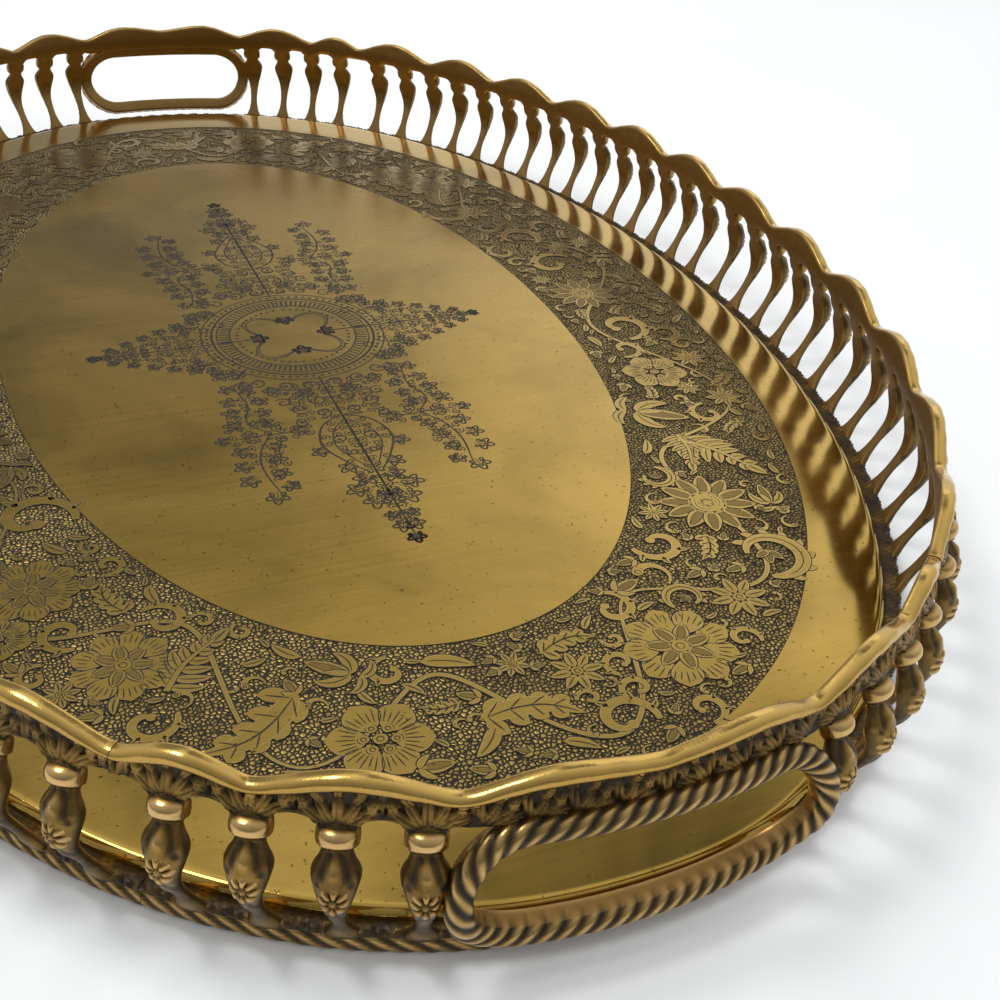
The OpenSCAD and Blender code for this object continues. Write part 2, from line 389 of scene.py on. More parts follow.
def oxide(name, colour):
    """Dark oxide left in engraved lines."""
    m = Nodes(name)
    xyz = m.coords()
    n = m.noise(xyz, 900, 3, 0.6)
    light = tuple(c * 2.6 for c in colour)
    m.give(Base_Color=m.ramp(n, [(0.35, colour), (0.75, light)]))
    m.give(Metallic=0.5)
    m.give(Roughness=m.ramp(n, [(0.3, 0.7), (0.8, 0.45)]))
    m.give(Normal=m.bump(n, 0.00004, 0.5))
    return m.mat


def cast_brass(name, stops, rough, mottle=0.5):
    """Cast brass with a grainy skin: dark patina in the hollows, bright on the high places; on the
    bead the vertex value also paints a highlight on top and shade underneath.
    """
    m = Nodes(name)
    xyz = m.coords()
    wear_and_shade = m.attribute("wear_and_shade")
    blotch = m.noise(xyz, 210, 4, 0.62)
    skin = m.noise(xyz, 1500, 3, 0.6)
    broad = m.noise(xyz, 38, 2, 0.5)
    w = m.math("ADD", wear_and_shade, m.swing(blotch, mottle))
    w = m.math("ADD", w, m.swing(broad, 0.25), clamp=True)
    m.give(Base_Color=m.ramp(w, stops))
    m.give(Metallic=m.ramp(w, [(0.0, 0.45), (0.4, 0.95), (1.0, 1.0)]))
    r = m.ramp(w, [(0.0, rough[0]), (1.0, rough[1])])
    m.give(Roughness=r)
    n1 = m.bump(skin, 0.00005, 0.5)
    n2 = m.bump(blotch, 0.00022, 0.45, n1)
    m.give(Normal=n2)
    return m.mat


plate_mat = sheet_brass("satin_sheet_brass", (0.50, 0.32, 0.068), 0.235)
motif_mat = sheet_brass("etched_motif_brass", (0.44, 0.29, 0.066), 0.27, tarnish=0.25)
recess_mat = sheet_brass("etched_recess_brass", (0.25, 0.165, 0.044), 0.36, tarnish=0.35)
# A lighter brass laid along the etched motifs' raised rims as a painted highlight.
glint_mat = sheet_brass("etched_rim_painted_highlight", (0.66, 0.47, 0.16), 0.24, tarnish=0.15)
ground_mat = pebble_ground("etched_pebble_ground")
line_mat = oxide("engraved_line_oxide", (0.022, 0.016, 0.009))
PATINA = (0.016, 0.011, 0.006)
cast_mat = cast_brass(
    "patinated_cast_brass",
    [(0.0, PATINA), (0.3, (0.085, 0.052, 0.016)), (0.6, (0.32, 0.19, 0.050)),
     (1.0, (0.64, 0.42, 0.17))], (0.5, 0.2))
bead_mat = cast_brass(
    "polished_bead_brass",
    [(0.0, (0.10, 0.06, 0.015)), (0.4, (0.42, 0.25, 0.055)), (1.0, (0.66, 0.43, 0.12))],
    (0.34, 0.16), 0.2)
rope_mat = cast_brass(
    "worn_rope_brass",
    [(0.0, PATINA), (0.35, (0.12, 0.075, 0.024)), (0.7, (0.36, 0.225, 0.075)),
     (1.0, (0.60, 0.40, 0.17))], (0.5, 0.22))
inner_mat = cast_brass(
    "satin_inner_brass",
    [(0.0, (0.10, 0.055, 0.018)), (0.5, (0.30, 0.175, 0.055)), (1.0, (0.52, 0.32, 0.11))],
    (0.48, 0.3), 0.35)


# ---------------------------------------------------------------- balusters
half_width = table([(6, 4.6), (8.2, 4.2), (10, 3.2), (12, 2.35), (15, 1.7), (18, 1.55), (22, 1.85),
    (26, 2.6), (30, 3.85), (33, 4.65), (34.8, 4.8), (36.2, 4.3), (37.6, 3.4), (38.8, 2.95),
    (39.8, 3.1), (40.3, 4.15), (42, 4.3), (43.7, 4.15), (44.4, 3.4), (46, 5.4), (48, 7)], 0.22)
depth = table([(6, 2.5), (8.2, 2.7), (10, 2.8), (13, 2.4), (18, 2.3), (22, 2.9), (26, 4.1),
    (30, 5.1), (33, 5.5), (35, 5.1), (37.6, 3.6), (39.5, 2.9), (40.3, 5.0), (41.2, 5.8),
    (42.6, 5.9), (43.6, 5.2), (44.3, 3.6), (46, 4.0), (48, 4.2)], 0.22)
# Depth at which a baluster is widest, and height and radius of its flower.
SIDE_T = 0.9
FLOWER_H, FLOWER_R = 29.7, 3.6


def baluster(b, s0, turn):
    rows = np.arange(7.0, 47.3, 0.62)[:, None]
    th = np.linspace(0, TAU, 30, endpoint=False)[None, :]
    c, s = np.cos(th), np.sin(th)
    w, d = half_width(rows), depth(rows)
    front = s >= 0
    u = w * np.where(front, c, np.sign(c) * np.abs(c) ** 0.45)
    t = np.where(front, SIDE_T + (d - SIDE_T) * np.abs(s) ** 0.85, SIDE_T * (1 - np.abs(s) ** 0.45))
    ridge = np.exp(-(u / 1.05) ** 2) * np.exp(-((rows - 36.4) / 1.5) ** 2)
    groove = np.exp(-((np.abs(u) - 0.9 - 0.4 * (38.8 - rows)) / 0.42) ** 2)
    groove = groove * (rows > 33.0) * (rows < 38.8) * front
    vein = np.exp(-((np.abs(u) - 0.45 - 0.4 * (26.5 - rows)) / 0.4)
        ** 2) * (rows < 26.3) * (rows > 20) * front
    dimple = np.exp(-(u / 1.3) ** 2 - ((rows - 30.0) / 1.5) ** 2) * ~front
    t = t + front * (0.95 * ridge - 0.5 * groove - 0.35 * vein) + 0.7 * dimple
    collar = np.clip((rows - 40.0) / 0.5, 0, 1) * np.clip((44.1 - rows) / 0.5, 0, 1)
    body = np.exp(-((rows - 31) / 7.0) ** 2)
    wear_and_shade = np.where(front, 0.30 + 0.2 * s * body + 0.66 * collar * np.maximum(s, 0) ** 0.5
        + 0.5 * ridge - 0.4 * groove - 0.3 * vein, 0.55 - 0.6 * dimple)
    wear_and_shade = wear_and_shade + np.where(front, 0.25 * np.exp(-((rows - 10.5) / 2.2) ** 2) * s, 0)
    back = np.sin(th + TAU / 60)[0] < 0
    b.grid(wall(s0 + u, rows + 0 * u, t), wear_and_shade, np.where(back, 1, 0), around=True, caps=True)
    # The small flower on the bulge.
    r = np.linspace(0.02, 1, 10)[:, None]
    a = np.linspace(0, TAU, 64, endpoint=False)[None, :]
    petal = np.abs(np.cos(4 * (a + turn)))
    rad = r * FLOWER_R * (0.84 + 0.16 * petal ** 0.5)
    u, h = rad * np.cos(a), FLOWER_H + rad * np.sin(a)
    lift = 0.95 * petal ** 0.45 * np.clip((r - 0.18) / 0.2, 0, 1) * (1 - r ** 5) - 0.25
    lift = lift + 0.95 * np.exp(-(r / 0.17) ** 2) - 0.35 * r ** 6
    base = SIDE_T + (depth(h) - SIDE_T) * np.sqrt(np.clip(1 - (u / half_width(h)) ** 2, 0.02,
        1)) ** 0.85
    wear_and_shade = 0.05 + 0.75 * petal ** 0.6 * np.clip((r - 0.2) / 0.25, 0,
        1) + 0.7 * np.exp(-(r / 0.2) ** 2)
    b.grid(wall(s0 + u, h, base + lift), wear_and_shade, 0, around=True)
    start = b.add(wall(np.array([s0]), FLOWER_H, base[:1, :1].ravel() + 0.7), 0.8)
    ring = start - r.size * a.size + np.arange(a.size)
    b.faces(np.stack([ring, np.roll(ring, -1), np.full(a.size, start)], -1), 0)


def nearest(d, centres):
    """Signed distance from the nearest baluster axis."""
    gap = np.asarray(d)[..., None] - np.asarray(centres)
    return np.take_along_axis(gap, np.argmin(np.abs(gap), -1)[..., None], -1)[..., 0]


def leaf_bump(x, y, base_x, base_y, lean, length, width):
    """Height of a raised leaf with a middle groove, leaning from upright by lean degrees."""
    g = math.radians(lean)
    along = (x - base_x) * math.sin(g) + (y - base_y) * math.cos(g)
    across = (x - base_x) * math.cos(g) - (y - base_y) * math.sin(g)
    dome = 1 - (2 * along / length - 1) ** 2 - (across / width) ** 2
    return np.sqrt(np.clip(dome, 0, 1)) - 0.4 * np.exp(-(across / (0.22 * width))
        ** 2) * (dome > 0.05)


# Leaves of one bay of the crest: base beside the baluster's axis, base height, lean, length
# and half width.
LEAVES = [(0.0, 44.9, 0, 7.2, 1.35), (0.9, 44.7, 27, 7.0, 1.3), (1.7, 44.8, 52, 6.8, 1.25),
    (2.4, 45.2, 76, 6.2, 1.15), (5.6, 46.8, 18, 5.6, 1.2), (8.9, 46.4, 0, 6.6, 1.2),
    (7.2, 46.8, -22, 5.0, 1.0), (2.6, 49.6, 32, 5.2, 1.1), (4.9, 51.0, -16, 5.0, 1.0),
    (7.6, 51.6, 14, 5.2, 1.05), (0.0, 51.2, 0, 5.2, 1.2)]


def crest_band(b, s0, length, centres, scallops, ring=None):
    """The relief band under the crest bead, with arched openings between the balusters."""
    n = int(length / 0.42)
    d = np.linspace(GAP, length - GAP, n)[:, None]
    x = nearest(d, centres)
    q = np.abs(x)
    count, high = scallops(d)
    top = crest(count, high, middle_lift(d, length, ring)) - 1.4
    low = 46.4 - 3.3 * np.clip(1 - (q - 3.0) / 3.4, 0, 1) ** 2
    if ring is not None:
        inside = 1 / (1 + np.exp((np.abs(d - length / 2) - ring) / 0.6))
        low = low * (1 - inside) + 44.6 * inside
    v_in = np.linspace(0, 1, 6)[None, :]
    v_out = np.linspace(1, 0, 26)[None, :]
    h_out = low + (top - low) * v_out
    leaves = np.zeros_like(h_out)
    bay = q if ring is None else np.where(q < 9.5, q, np.mod(q - 9.5, 8.9))
    for base_x, base_y, lean, size, width in LEAVES:
        leaves = np.maximum(leaves, leaf_bump(bay, h_out, base_x, base_y, lean, size, width))
    under = np.exp(-((top - h_out - 0.9) / 0.7) ** 2) * (0.5 + 0.5 * np.cos(TAU * d / 2.6))
    t_out = 3.0 - 0.3 * v_out + 0.8 * np.exp(-(q / 3.4) ** 2) * (1
        - v_out) + 1.05 * leaves + 0.5 * under
    edge_in = 0.35 * (1 - np.clip(v_in / 0.15, 0, 1))
    h = np.concatenate([low + (top - low) * v_in, h_out], 1)
    t = np.concatenate([edge_in + 0 * d, t_out], 1)
    wear_out = 0.02 + 0.5 * leaves + 0.3 * under + 0.08 * np.exp(-(q / 3.0) ** 2)
    wear_and_shade = np.concatenate([0.55 + 0 * d * v_in, wear_out], 1)
    side = np.where(np.arange(32) < 5, 2, 0)
    b.grid(wall(s0 + d, h, t), wear_and_shade, side, around=True, caps=True)


def bead(b, s0, length, scallops, ring=None):
    """The bead along the crest: half round outside, square and flush with the wall inside."""
    n = int(length / 0.6)
    d = np.linspace(GAP, length - GAP, n)[:, None]
    a = np.linspace(0, TAU, 28, endpoint=False)[None, :]
    c, s = np.cos(a), np.sin(a)
    count, high = scallops(d)
    swell = np.sin(np.pi * count) ** 2
    r = 1.55 + 0.45 * swell
    top = crest(count, high, middle_lift(d, length, ring))
    slope = np.gradient(top[:, 0], d[:, 0])[:, None]
    tall = np.sqrt(1 + slope ** 2)
    wob = 0.06 * np.sin(d * 0.9) + 0.05 * np.sin(d * 0.37 + 1)
    inner = c < 0
    rise = np.where(inner, np.sign(s) * np.abs(s) ** 0.5, s)
    h = top - r * tall + r * tall * rise + wob * 0.5
    t = np.where(inner, 2.2 - 2.2 * np.abs(c) ** 0.45, 2.2 + (r + wob) * c * 1.08)
    # Painted highlight and painted shade: the bead's colour grows lighter towards its top and
    # darker underneath, following the angle round its section, on its outer and inner sides alike;
    # the lighter scallop peaks are wear.
    wear_and_shade = 0.66 + 0.3 * np.sin(a - 0.6) + 0.1 * swell
    mid = np.cos(a + TAU / 56)[0]
    low = np.sin(a + TAU / 56)[0] < 0.72
    b.grid(wall(s0 + d, h, t), np.where(inner, 0.55 + 0.25 * s, wear_and_shade),
        np.where((mid < 0) & low, 2, 1), around=True, caps=True)


def twisted(a, x, strands_a, phase, sharp):
    """Height of a rope's strands at angle a and strand count x: 0 in a groove, 1 on a strand."""
    return np.abs(np.cos(strands_a / 2 * a + np.pi * x + phase)) ** sharp


# The rope along the base: radius, distance of its axis from the plate's edge, height of its axis,
# strands round it and distance along it from strand to strand.
ROPE_R, ROPE_OFF, ROPE_MID, ROPE_STRANDS, ROPE_PITCH = 3.75, 2.1, 3.7, 6, 5.4


def base_rope(b, s0, length, mat):
    n = int(length / 0.5)
    d = np.linspace(GAP, length - GAP, n)[:, None]
    a = np.linspace(0, TAU, 28, endpoint=False)[None, :]
    strand = twisted(a, d / ROPE_PITCH, ROPE_STRANDS, 0, 0.55)
    wob = 0.05 * np.sin(d * 0.21 + s0) + 0.04 * np.sin(d * 0.53)
    r = ROPE_R * (0.82 + 0.18 * strand) + wob
    # It stands on the table without reaching below it.
    r = np.minimum(r, ROPE_MID / np.maximum(0.2, np.abs(np.sin(a))))
    off = ROPE_OFF + r * np.cos(a)
    z = ROPE_MID + r * np.sin(a)
    wear_and_shade = np.clip(1.15 * strand ** 2.2 - 0.25, 0, 0.85)
    b.grid(off_edge(s0 + d, off, z), wear_and_shade, mat, around=True, caps=True)


def ledge(b, s0, length, centres, mat):
    """The lumpy ledge between the feet of the balusters."""
    n = int(length / 0.55)
    d = np.linspace(GAP, length - GAP, n)[:, None]
    q = nearest(d, centres)
    shape = np.array([(-1.6, 6.5), (-1.6, 7.9), (0.4, 7.95), (1.4, 7.9), (2.2, 8.1), (3.0, 8.5),
        (3.8, 8.8), (4.6, 8.7), (5.3, 8.4), (5.7, 7.8), (5.7, 7.1), (5.0, 6.4), (3.6, 5.9),
        (1.3, 5.9)])
    off, z = shape[None, :, 0], shape[None, :, 1]
    k = np.arange(len(shape))[None, :]
    lump = (np.sin(d * 1.9 + 2.1 * k + s0) + np.sin(d * 3.1 - 1.3 * k)
        + np.sin(d * 0.83 + 0.7 * k)) / 3
    outer = np.clip((off - 1.8) / 2, 0, 1)
    foot = np.exp(-(q / 3.6) ** 2)
    off = off + outer * (0.4 * lump + 0.7 * foot)
    z = z + outer * np.clip(z - 6.2, 0, 1) * (0.55 * lump + 0.4 * foot)
    wear_and_shade = 0.16 + 0.24 * lump + 0.25 * foot + 0 * off
    b.grid(off_edge(s0 + d, off, z), wear_and_shade, mat, around=True, caps=True)


# Thickness of the ring's smooth inner part.
RING_FLAT = 3.2
# How far its lower bar reaches inward over the plate's edge.
RING_BACK = 0.8
# Half length, half height and middle height of the hand hole, and width of the rope round it.
HOLE_L, HOLE_R, HOLE_MID, RING_W = 37.6, 11.8, 28.8, 5.5
RING_STRANDS = 50
# Half length of crest that is deepened to meet the ring.
RING_REACH = 41.0


def ring_rope(b, s0, mat):
    """The roped ring round the hand hole: a flat-backed rope on a round-ended path."""
    r0 = HOLE_R + RING_W / 2
    straight = HOLE_L - HOLE_R
    total = 4 * straight + TAU * r0
    x = np.linspace(0, total, 760, endpoint=False)
    # The first half runs along the top and round one end, the second half is the same turned over.
    first = x < total / 2
    y = np.where(first, x, x - total / 2)
    g = np.maximum(y - 2 * straight, 0) / r0
    side = np.where(first, 1, -1)
    nu, nh = side * np.sin(g), side * np.cos(g)
    u = side * (np.minimum(y, 2 * straight) - straight) + r0 * nu
    h = r0 * nh
    a = np.linspace(0, TAU, 32, endpoint=False)[None, :]
    c, s = np.cos(a), np.sin(a)
    strand = twisted(a, x[:, None] / total * RING_STRANDS, 4, 0.6, 0.6)
    r = (RING_W / 2 + 0.15) * (0.80 + 0.22 * strand)
    round_side = s > -0.05
    across = np.where(round_side, r * c, (RING_W / 2 - 0.1) * np.sign(c) * np.abs(c) ** 0.3)
    back = RING_BACK * np.clip(-nh, 0, 1)[:, None]
    out = np.where(round_side, RING_FLAT + r * np.maximum(s, 0) * 1.1,
                   RING_FLAT - (RING_FLAT + back) * np.abs(s) ** 0.3)
    pu = u[:, None] + nu[:, None] * across
    ph = HOLE_MID + h[:, None] + nh[:, None] * across
    wear_and_shade = np.where(round_side, np.clip(1.1 * strand ** 2.4 - 0.2, 0, 0.85), 0.6)
    pts = wall(s0 + pu, ph, out)
    pts = np.concatenate([pts, pts[:1]])
    wear_and_shade = np.concatenate([wear_and_shade, wear_and_shade[:1]])
    flat = np.sin(a + TAU / 64)[0] < -0.05
    b.grid(pts, wear_and_shade, np.where(flat, mat + 1, mat), around=True)


def casting(name, s0, length, centres, scallops, ring=None):
    b = Build()
    for i, c in enumerate(centres):
        baluster(b, s0 + c, 0.1 * math.sin(7.3 * i))
    b.piece(name + "_balusters", [cast_mat, inner_mat], name, "gallery")
    b = Build()
    crest_band(b, s0, length, centres, scallops, ring)
    bead(b, s0, length, scallops, ring)
    b.piece(name + "_crest", [cast_mat, bead_mat, inner_mat], name, "gallery")
    b = Build()
    ledge(b, s0, length, centres, 0)
    base_rope(b, s0, length, 1)
    b.piece(name + "_base", [cast_mat, rope_mat], name, "gallery")


def side_section(name, s0, s1):
    length = s1 - s0
    casting(name, s0, length, np.linspace(SIDE_MARGIN, length - SIDE_MARGIN, SIDE_COUNT),
        side_scallops(length))


def handle_section(name, mid):
    steps = RING_SIDE + HANDLE_STEP * np.arange(4)
    centres = HALF_H + np.concatenate([-steps[::-1], steps])
    casting(name, mid - HALF_H, 2 * HALF_H, centres, handle_scallops, ring=RING_REACH)
    b = Build()
    ring_rope(b, mid, 0)
    b.piece(name + "_ring", [rope_mat, inner_mat], name, "gallery")


handle_section("gallery_handle_near", 0.0)
handle_section("gallery_handle_far", FAR_MID)
side_section("gallery_side_near_right", HALF_H, RIGHT_JOINT)
side_section("gallery_side_far_right", RIGHT_JOINT, FAR_MID - HALF_H)
side_section("gallery_side_far_left", FAR_MID + HALF_H, LEFT_JOINT)
side_section("gallery_side_near_left", LEFT_JOINT, LENGTH - HALF_H)


# ---------------------------------------------------------------- plate
def plate():
    b = Build()
    ex, ey = edge(np.linspace(0, TAU, 720, endpoint=False))
    rings = []
    mats = []

    def ring(a, c, z, mat=0):
        rings.append((a, c, z))
        mats.append(mat)

    for k in np.linspace(0.03, 1, 26):
        ring(BAND_IN[0] * k, BAND_IN[1] * k, PLATE_TOP)
    for k in np.linspace(0, 1, 16):
        e = 0.25
        a = BAND_IN[0] + e + (BAND_OUT[0] - BAND_IN[0] - 2 * e) * k
        c = BAND_IN[1] + e + (BAND_OUT[1] - BAND_IN[1] - 2 * e) * k
        ring(a, c, GROUND, 1 if k else 2)
    ring(BAND_OUT[0], BAND_OUT[1], PLATE_TOP, 2)
    for inset in (18, 12, 7, 4, 2.9):
        ring(PLATE_A - inset, PLATE_B - inset, PLATE_TOP)
    for g in np.linspace(10, 90, 9):
        g = math.radians(g)
        inset = EDGE_R * (1 - math.sin(g))
        ring(PLATE_A - inset, PLATE_B - inset, PLATE_TOP - EDGE_R * (1 - math.cos(g)))
    for inset, z in ((0, LIP), (1.2, LIP), (1.4, 8.6), (EDGE_R, UNDERSIDE)):
        ring(PLATE_A - inset, PLATE_B - inset, z)
    for k in (0.8, 0.5, 0.25, 0.03):
        ring(PLATE_A * k, PLATE_B * k, UNDERSIDE)
    # Towards +Y of the near hand hole the sheet reaches furthest.
    extra = (ex > 0) * (NEAR_EXTRA + 2.0 * np.exp(-((ey - 42) / 32) ** 2))
    pts = np.array([np.stack([ex * (a + extra * max(0, a - BAND_OUT[0]) / (PLATE_A - BAND_OUT[0]))
        / PLATE_A, ey * c / PLATE_B, z + 0 * ex], 1) for a, c, z in rings])
    rows, cols = pts.shape[:2]
    polish = np.array([a > BAND_OUT[0] + 1 for a, _, _ in rings])
    start = b.add(pts, np.repeat(np.where(polish, 1.0, 0.5), cols))
    idx = start + np.arange(rows * cols).reshape(rows, cols)
    idx = np.concatenate([idx, idx[:, :1]], 1)
    for i in range(rows - 1):
        b.faces(np.stack([idx[i, :-1], idx[i, 1:], idx[i + 1, 1:], idx[i + 1, :-1]], -1),
            mats[i + 1])
    for row, z in ((0, PLATE_TOP), (rows - 1, UNDERSIDE)):
        mid = b.add(np.array([[0, 0, z]]), 0.5)
        r = idx[row, :-1]
        b.faces(np.stack([r, np.roll(r, -1), np.full(cols, mid)], -1), 0)
    return b.piece("tray_plate_sheet", [plate_mat, ground_mat, line_mat], "tray_plate", "plate",
        sharp=35)


plate()


# ---------------------------------------------------------------- etched ornament
def spline(ctrl, n):
    """Smooth curve of n points through a few control points."""
    p = np.array(ctrl, float)
    p = np.concatenate([[2 * p[0] - p[1]], p, [2 * p[-1] - p[-2]]])
    m = len(p) - 3
    t = np.linspace(0, m, n)
    i = np.minimum(t.astype(int), m - 1)
    f = (t - i)[:, None]
    a, b, c, d = p[i], p[i + 1], p[i + 2], p[i + 3]
    return 0.5 * (2 * b + (c - a) * f + (2 * a - 5 * b + 4 * c - d) * f ** 2
        + (3 * b - a - 3 * c + d) * f ** 3)


def around(n):
    """Angles of n things spread evenly round a circle."""
    return np.arange(n) * TAU / n


def circle(x, y, r, a):
    """Points at distances r and angles a from (x, y)."""
    return np.stack([x + r * np.cos(a), y + r * np.sin(a)], 1)


def sides(pts):
    """Gives the curve beside pts, at a signed distance for each of its points."""
    g = np.gradient(pts, axis=0)
    g /= np.maximum(np.hypot(g[:, 0], g[:, 1]), 1e-9)[:, None]
    nrm = np.stack([-g[:, 1], g[:, 0]], 1)
    return lambda k: pts + nrm * k[:, None]


class Etch:
    """Raised motifs with dark outlines, drawn as ribbons in the plane of the plate."""

    # Height step between shapes of one motif that overlap.
    LEVEL = 0.012
    # Motifs that cross lie at slightly different heights.
    SHIM = 0.0011

    def __init__(self):
        self.b = Build()
        self.placed = 0
        self.place(0, 0)

    def place(self, x, y, rot=0.0, flip=1):
        c, s = math.cos(rot), math.sin(rot)
        self.m = np.array([[c, s], [-s, c]])
        self.o = np.array([x, y])
        self.flip = flip
        self.level = 0
        self.placed += 1
        self.base = PLATE_TOP + self.SHIM * (self.placed % 10)

    def to_world(self, pts):
        pts = np.array(pts, float)
        pts[:, 1] *= self.flip
        return pts @ self.m + self.o

    def sweep(self, pts, cols, zs, mats):
        """cols: signed distances of each column from the spine, a list of arrays."""
        pts = self.to_world(pts)
        at_side = sides(pts)
        grid = np.stack([np.concatenate([at_side(c), np.full((len(pts), 1), z)], 1) for c,
            z in zip(cols, zs)], 1)
        self.b.ribbon(grid, mats)

    def fill(self, pts, w, out=0.42):
        """A raised ribbon of half widths w, with a dark outline that drops to the ground and a
        painted highlight of lighter brass along its rim.
        """
        w = np.asarray(w, float)
        top = self.base + self.LEVEL * self.level
        self.level += 1
        e = w + out * np.clip(w / (0.45 * w.max()), 0.3, 1)
        rim = np.minimum(0.16, 0.3 * w)
        cols = [e + 0.02, e, w, w - rim, rim - w, -w, -e, -e - 0.02]
        zs = [GROUND - 0.02, top - 0.006, top, top + 0.0004, top + 0.0004, top, top - 0.006,
            GROUND - 0.02]
        # Columns: outline, painted rim highlight, fill, painted rim highlight, outline.
        self.sweep(pts, cols, zs, [1, 1, 3, 0, 3, 1, 1])

    def recess(self, pts, w):
        """A darker sunk area with a dark outline, inside a petal."""
        top = self.base + self.LEVEL * self.level + 0.002
        self.sweep(pts, [w + 0.24, -w - 0.24], [top, top], [1])
        self.sweep(pts, [w, -w], [top + 0.001, top + 0.001], [2])

    def line(self, pts, w=0.2):
        """A dark engraved line."""
        top = self.base + self.LEVEL * self.level + 0.002
        pts = np.array(pts, float)
        w = w * np.sin(np.pi * np.linspace(0.08, 0.92, len(pts))) ** 0.5
        self.sweep(pts, [w, -w], [top, top], [1])

    def petal(self, x, y, ang, length, width, n=9, vein=False, bend=0.0, loop=False, blunt=0.75):
        t = np.linspace(0, 1, n)
        a = ang + bend * (t - 0.5)
        px = x + np.concatenate([[0], np.cumsum(np.cos(a[1:]) * length / (n - 1))])
        py = y + np.concatenate([[0], np.cumsum(np.sin(a[1:]) * length / (n - 1))])
        pts = np.stack([px, py], 1)
        w = width * np.sin(np.pi * t ** blunt) ** 0.75 + 0.05
        self.fill(pts, w)
        if loop:
            inner = slice(max(1, n // 6), n - n // 6)
            self.recess(pts[inner], (0.5 * w * np.sin(np.pi * t) ** 0.3)[inner])
        elif vein:
            self.line(pts[1:int(n * 0.8) + 1], 0.22)

    def spoke(self, r, a, *sizes, **looks):
        """A petal that starts at distance r from the motif's middle and points outward."""
        self.petal(r * math.cos(a), r * math.sin(a), a, *sizes, **looks)

    def dot(self, r, a, size, ring=True):
        """A disc at distance r from the motif's middle."""
        self.disc(r * math.cos(a), r * math.sin(a), size, ring)

    def disc(self, x, y, r, ring=True):
        t = np.linspace(0, 1, 11)
        pts = np.stack([x - r + 2 * r * t, y + 0 * t], 1)
        self.fill(pts, r * np.sqrt(np.clip(1 - (2 * t - 1) ** 2, 0.003, 1)), 0.32)
        if ring and r > 0.8:
            a = np.linspace(0, TAU, 13)
            self.line(circle(x, y, 0.5 * r, a), 0.18)

    def hatch(self, r0, r1, n):
        """Radial lines from r0 to r1, every second one shorter."""
        for i, a in enumerate(around(n)):
            k = 1 - 0.25 * (i % 2)
            t = np.linspace(r0, r0 + (r1 - r0) * k, 3)
            self.line(np.stack([t * math.cos(a), t * math.sin(a)], 1), 0.2)

    # Motifs, each about the placed origin and sized by R.
    def daisy(self, R):
        for a in around(12):
            self.spoke(0.3 * R, a, 0.7 * R, 0.17 * R, 9, loop=True)
            self.level = self.level % 4
        self.level = 5
        self.disc(0, 0, 0.33 * R, ring=False)
        self.disc(0, 0, 0.24 * R)
        for a in around(6):
            self.dot(0.13 * R, a, 0.045 * R, ring=False)
            self.level = 7

    def peony(self, R):
        for i, a in enumerate(around(9)):
            self.spoke(0.3 * R, a, 0.72 * R, 0.27 * R, 9, blunt=1.35)
            self.level = i % 3
        self.level = 3
        self.hatch(0.66 * R, 0.92 * R, 45)
        for a in (np.arange(7) + 0.5) * TAU / 7:
            self.spoke(0.12 * R, a, 0.5 * R, 0.13 * R, 8, loop=True)
            self.level = 4 + self.level % 3
        self.level = 8
        self.disc(0, 0, 0.15 * R)

    def blossom(self, R):
        for i, a in enumerate(around(6)):
            self.spoke(0.2 * R, a, 0.8 * R, 0.36 * R, 9, blunt=1.2)
            self.level = i % 3
        self.level = 3
        self.hatch(0.45 * R, 0.8 * R, 36)
        for a in around(6):
            self.level = 4
            self.dot(0.3 * R, a, 0.1 * R)
        self.disc(0, 0, 0.13 * R)

    def star_flower(self, R):
        for i, a in enumerate(around(8)):
            self.spoke(0.2 * R, a, 0.8 * R, 0.17 * R, 7, vein=True)
            self.level = i % 2
        self.level = 3
        self.disc(0, 0, 0.2 * R)

    def feather(self, R):
        n = 6
        spine = spline([(-R, -0.15 * R), (-0.2 * R, 0.05 * R), (R * 0.8, 0)], 14)
        for i in range(n):
            k = i / (n - 1)
            x, y = spine[1 + int(k * 10)]
            ln = R * (0.62 - 0.25 * k) * (0.75 + 0.5 * math.sin(math.pi * min(1, k + 0.25)))
            for sgn in (1, -1):
                self.level = i % 3
                self.petal(x, y, sgn * (1.05 - 0.25 * k), ln, 0.105 * R, 8, vein=True,
                    bend=-0.5 * sgn)
        self.level = 4
        self.petal(0.55 * R, 0, 0, 0.5 * R, 0.12 * R, 8, vein=True)
        self.fill(spine, np.linspace(0.055 * R, 0.02 * R, 14), 0.25)

    def leaf(self, R):
        lobes, bend = 4, 0.5
        t = np.linspace(0, 1, 15)
        pts = spline([(-R, -0.2 * R * bend), (-0.3 * R, 0.22 * R * bend), (0.35 * R, 0.1 * R),
            (R, -0.45 * R * bend)], 15)
        lobe = [(i % 3, k, pts[int(k * 12)], sgn, sgn * (1.0 - 0.3 * k) - 0.35 * k)
                for i, k in enumerate((np.arange(lobes) + 0.4) / lobes) for sgn in (1, -1)]
        for level, k, (x, y), sgn, a in lobe:
            self.level = level
            self.petal(x, y, a, R * (0.62 - 0.26 * k), 0.17 * R, 8, bend=-0.6 * sgn, blunt=1.1)
        self.level = 3
        self.fill(pts, R * 0.24 * np.sin(np.pi * t ** 0.7) ** 0.8 + 0.1, 0.0)
        self.level = 4
        self.line(pts[1:-1], 0.3)
        for _, k, (x, y), _, a in lobe:
            self.line(circle(x, y, np.linspace(0.08, 1, 4) * R * (0.46 - 0.2 * k), a), 0.24)

